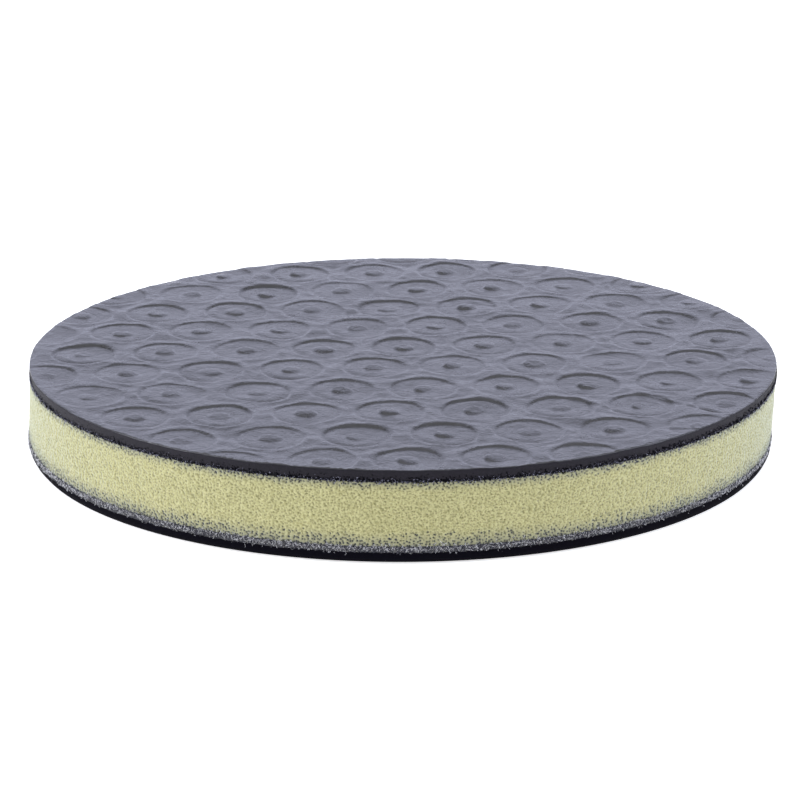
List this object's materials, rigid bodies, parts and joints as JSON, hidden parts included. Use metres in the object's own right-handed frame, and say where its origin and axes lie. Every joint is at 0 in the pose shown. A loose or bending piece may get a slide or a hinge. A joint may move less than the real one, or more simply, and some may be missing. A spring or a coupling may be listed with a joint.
{
  "type": "finishing pad",
  "caption": "Round laminated finishing pad: embossed rubber face, yellow open-cell foam core, black hook-and-loop backing.",
  "frame": {"origin": "centre of the underside of the loop backing", "axes": "+Z through the layers, from the backing to the rubber face; +X to the right and +Y away from a viewer in front"},
  "size_m": [0.1524, 0.1524, 0.0185],
  "materials": {
    "face_rubber": "smooth moulded blue-grey rubber, satin, finely creased",
    "face_bond": "ragged near-black bond line",
    "yellow_foam": "pale yellow open-cell polyurethane foam, cut wall",
    "backing_bond": "fuzzy grey-lilac bond line",
    "black_loop": "black loop fabric with a rolled rim"
  },
  "bodies": {
    "root": {"face_sheet": "face_rubber", "face_bond": "face_bond", "foam_core": "yellow_foam", "backing_bond": "backing_bond", "loop_backing": "black_loop"}
  },
  "joints": []
}
